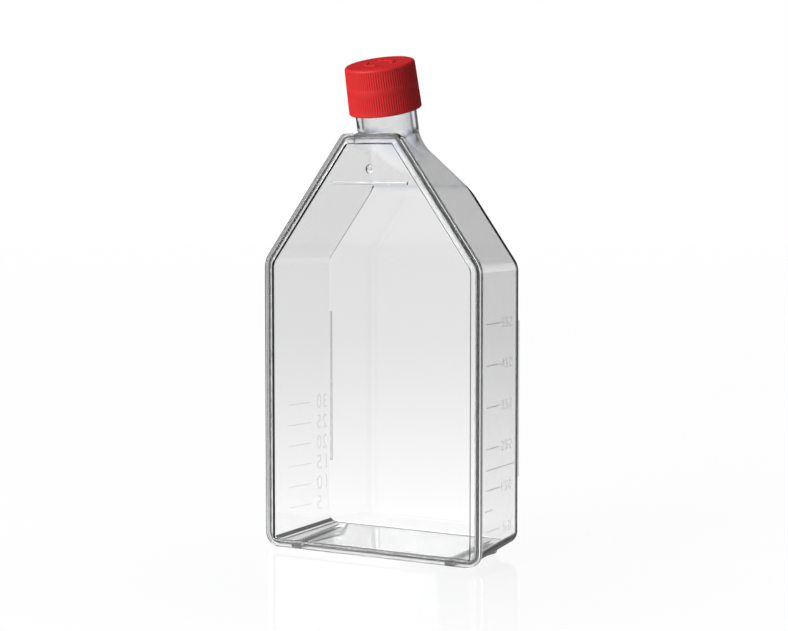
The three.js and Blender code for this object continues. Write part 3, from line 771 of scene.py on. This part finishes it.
material = bpy.data.materials.new("red polyethylene")
tree = bare_tree(material)
place = add_node(tree, "ShaderNodeTexCoord")["Object"]
cloud = add_node(tree, "ShaderNodeTexNoise", {}, {
    "Vector": place, "Scale": 90.0, "Detail": 3.0, "Roughness": 0.5})["Fac"]
grain = add_node(tree, "ShaderNodeTexNoise", {}, {
    "Vector": place, "Scale": 700.0, "Detail": 2.0, "Roughness": 0.6})["Fac"]
red = blend(tree, cloud, (0.61, 0.021, 0.023), (0.69, 0.028, 0.030))
bump = add_node(tree, "ShaderNodeBump", {}, {
    "Height": grain, "Strength": 0.02, "Distance": 0.0002})["Normal"]
matt = add_node(tree, "ShaderNodeBsdfPrincipled", {}, {
    "Base Color": red, "Roughness": 0.6, "Specular IOR Level": 0.0, "Normal": bump})["BSDF"]
shine = add_node(tree, "ShaderNodeBsdfGlossy", {}, {
    "Color": (1.0, 0.9, 0.9), "Roughness": 0.4 + 0.1 * cloud, "Normal": bump})["BSDF"]
surface = add_node(tree, "ShaderNodeMixShader", {}, {
    "Fac": 0.022, 1: matt, 2: shine})["Shader"]
add_node(tree, "ShaderNodeOutputMaterial", {}, {"Surface": surface})
cap.data.materials.append(material)
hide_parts("screw_cap")
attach(cap, "cap")

# ---- Seal --------------------------------------------------------------------------------------
# A disc of soft white foam that lies loose under the cap's top and presses on the neck's mouth.

seal_bm = turned(
    [(0, 29.9), (13.55, 29.9), (13.74, 29.96), (13.8, 30.15), (13.8, 30.85), (13.74, 31.04),
     (13.55, 31.1), (0, 31.1)])
bmesh.ops.transform(seal_bm, matrix=on_neck, verts=seal_bm.verts)
seal = as_piece("seal_disc", seal_bm)
settle(seal)
material = bpy.data.materials.new("seal foam")
tree = bare_tree(material)
place = add_node(tree, "ShaderNodeTexCoord")["Object"]
cells = add_node(tree, "ShaderNodeTexVoronoi", {"feature": "F1"}, {
    "Vector": place, "Scale": 2400.0})["Distance"]
tone = blend(tree, cells, (0.78, 0.77, 0.73), (0.86, 0.85, 0.82))
bump = add_node(tree, "ShaderNodeBump", {}, {
    "Height": cells, "Strength": 0.4, "Distance": 0.0002})["Normal"]
surface = add_node(tree, "ShaderNodeBsdfPrincipled", {}, {
    "Base Color": tone, "Roughness": 0.75, "Normal": bump})["BSDF"]
add_node(tree, "ShaderNodeOutputMaterial", {}, {"Surface": surface})
seal.data.materials.append(material)
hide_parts("cap_liner")
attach(seal, "seal")

# ---- Floor -------------------------------------------------------------------------------------
# A smooth white table top, bright as the backdrop, with a faint gloss close to the flask. Through
# the plastic and in its reflections it shows painted tones that darken away from the flask and
# after many crossings, and it gives diffuse rays little light.

FLOOR_RADIUS, BACKDROP_STRENGTH = 3, 1.26
scene = bpy.context.scene
bm = bmesh.new()
bmesh.ops.create_circle(bm, cap_ends=True, segments=128, radius=FLOOR_RADIUS)
bmesh.ops.translate(bm, vec=(0, 0, -0.0003), verts=bm.verts)
floor = as_piece("table_top", bm)


def deep_path(tree, path, first):
    """Painted shade: rays that have crossed many surfaces get a darker tone, as if they came from
    dark edges of the studio.
    """
    return add_node(tree, "ShaderNodeMapRange", {}, {
        "Value": path["Ray Depth"], "From Min": first, "From Max": first + 4.0,
        "To Min": 1.0, "To Max": 0.1})["Result"]


material = bpy.data.materials.new("white table")
tree = bare_tree(material)
path = add_node(tree, "ShaderNodeLightPath")
place = add_node(tree, "ShaderNodeTexCoord")["Object"]
away = add_node(tree, "ShaderNodeVectorMath", {"operation": "LENGTH"}, {0: place})["Value"]
# painted reflection: surfaces that mirror the floor see it bright near the flask and dark further
# off
painted_mirror_tone = add_node(tree, "ShaderNodeValToRGB", {
    "stops": [(0.04, 0.62), (0.13, 0.4), (0.27, 0.15), (0.45, 0.04), (1.0, 0.02)]}, {
    "Fac": away / FLOOR_RADIUS})["Color"]
# painted shade: seen through the plastic, the floor is a grey that darkens away from the flask
painted_through_tone = add_node(tree, "ShaderNodeValToRGB", {
    "stops": [(0.035, 0.975), (0.145, 0.885), (0.23, 0.84), (0.37, 0.8), (1.0, 0.805)]}, {
    "Fac": away / FLOOR_RADIUS})["Color"]
tone = blend(tree, path["Is Transmission Ray"], painted_mirror_tone, painted_through_tone)
under = add_node(tree, "ShaderNodeMapRange", {}, {
    "Value": away, "From Min": 0.07, "From Max": 0.12, "To Min": 0.55, "To Max": 0.0})["Result"]
# painted shade: rays that have crossed many surfaces see the floor darker, less so close under the
# flask
floor_depth_dimming = under + (1.0 - under) * deep_path(tree, path, 4.0)
tone = blend(tree, 1.0, tone, floor_depth_dimming, "MULTIPLY")
tone = blend(tree, path["Is Diffuse Ray"], tone, (0.1, 0.1, 0.1))
far = add_node(tree, "ShaderNodeMapRange", {"interpolation_type": "SMOOTHSTEP"}, {
    "Value": away, "From Min": 0.2, "From Max": 2.6, "To Min": 0.0, "To Max": 1.0})["Result"]
shown = blend(tree, far, (0.768, 0.768, 0.768), (0.79, 0.79, 0.79))
tone = blend(tree, path["Is Camera Ray"], tone, shown)
bright = add_node(tree, "ShaderNodeEmission", {}, {
    "Color": tone, "Strength": BACKDROP_STRENGTH})["Emission"]
grey = blend(tree, far, (0.04, 0.04, 0.04), (0.0, 0.0, 0.0))
lit = add_node(tree, "ShaderNodeBsdfPrincipled", {}, {
    "Base Color": grey, "Roughness": 0.9, "Specular IOR Level": 0.0})["BSDF"]
table = add_node(tree, "ShaderNodeAddShader", {}, {0: bright, 1: lit})["Shader"]
gloss = add_node(tree, "ShaderNodeBsdfGlossy", {}, {
    "Color": (0.96, 0.96, 1.0), "Roughness": 0.035})["BSDF"]
near = add_node(tree, "ShaderNodeMapRange", {"interpolation_type": "SMOOTHSTEP"}, {
    "Value": away, "From Min": 0.05, "From Max": 0.26, "To Min": 0.1, "To Max": 0.0})["Result"]
surface = add_node(tree, "ShaderNodeMixShader", {}, {
    "Fac": near * path["Is Camera Ray"], 1: table, 2: gloss})["Shader"]
add_node(tree, "ShaderNodeOutputMaterial", {}, {"Surface": surface})
floor.data.materials.append(material)

# ---- Studio ------------------------------------------------------------------------------------
# The world is plain white to the camera; through the plastic and in its reflections it shows
# painted tones, light low down and darker overhead and after many crossings, and it gives diffuse
# rays a dim even light. A large soft lamp in front and one at the left, weak ones on the right and
# above, and the camera a little above the flask's middle.

world = bpy.data.worlds.new("studio")
scene.world = world
tree = bare_tree(world)
path = add_node(tree, "ShaderNodeLightPath")
way = add_node(tree, "ShaderNodeTexCoord")["Generated"]
rise = add_node(tree, "ShaderNodeSeparateXYZ", {}, {"Vector": way})["Z"] + 0.2
# painted shade: seen through the plastic, the world is light low down and grey to dark overhead
painted_through_tone = add_node(tree, "ShaderNodeValToRGB", {
    "stops": [(0.14, 0.81), (0.16, 0.84), (0.19, 0.83), (0.26, (0.68, 0.71, 0.77)),
              (0.35, (0.50, 0.535, 0.59)), (0.55, 0.3), (1.0, 0.1)]}, {"Fac": rise})["Color"]
# painted reflection: in reflections the world is a light band low down and dark elsewhere
painted_mirror_tone = add_node(tree, "ShaderNodeValToRGB", {
    "stops": [(0.17, 0.03), (0.21, 0.8), (0.36, 0.8), (0.5, 0.15), (1.0, 0.04)]}, {
    "Fac": rise})["Color"]
tone = blend(tree, path["Is Transmission Ray"], painted_mirror_tone, painted_through_tone)
# painted shade: darker after many crossings
tone = blend(tree, 1.0, tone, deep_path(tree, path, 5.0), "MULTIPLY")
tone = blend(tree, path["Is Diffuse Ray"], tone, (0.12, 0.12, 0.125))
tone = blend(tree, path["Is Camera Ray"], tone, (0.794, 0.794, 0.794))
sky = add_node(tree, "ShaderNodeBackground", {}, {
    "Color": tone, "Strength": BACKDROP_STRENGTH})["Background"]
add_node(tree, "ShaderNodeOutputWorld", {}, {"Surface": sky})


def lamp(name, at, size, power):
    """A soft rectangular lamp that faces the flask."""
    light = bpy.data.lights.new(name, "AREA")
    light.shape, light.size, light.size_y, light.energy = "RECTANGLE", *size, power
    holder = bpy.data.objects.new(name, light)
    scene.collection.objects.link(holder)
    holder.location = at
    holder.rotation_mode = "QUATERNION"
    holder.rotation_quaternion = (Vector((0, 0, 0.15)) - Vector(at)).to_track_quat("-Z", "Y")


lamp("key", (-0.36, -1.67, 0.75), (0.7, 0.9), 26)
lamp("side", (-1.08, -1.33, 0.75), (0.5, 0.9), 13)
lamp("fill", (1.3, -0.6, 0.9), (0.6, 0.9), 1.0)
lamp("top", (-0.3, 0.4, 1.6), (1.0, 0.8), 1.2)

lens = bpy.data.cameras.new("camera")
lens.lens, lens.sensor_width, lens.sensor_fit, lens.clip_end = 105.07, 36, "HORIZONTAL", 50
camera = bpy.data.objects.new("camera", lens)
scene.collection.objects.link(camera)
camera.location = (0.5648, -0.89515, 0.19324)
camera.rotation_mode = "QUATERNION"
camera.rotation_quaternion = (
    Vector((-0.0008, 0.00223, 0.10946)) - camera.location).to_track_quat("-Z", "Y")
scene.camera = camera
scene.view_settings.view_transform = "Standard"
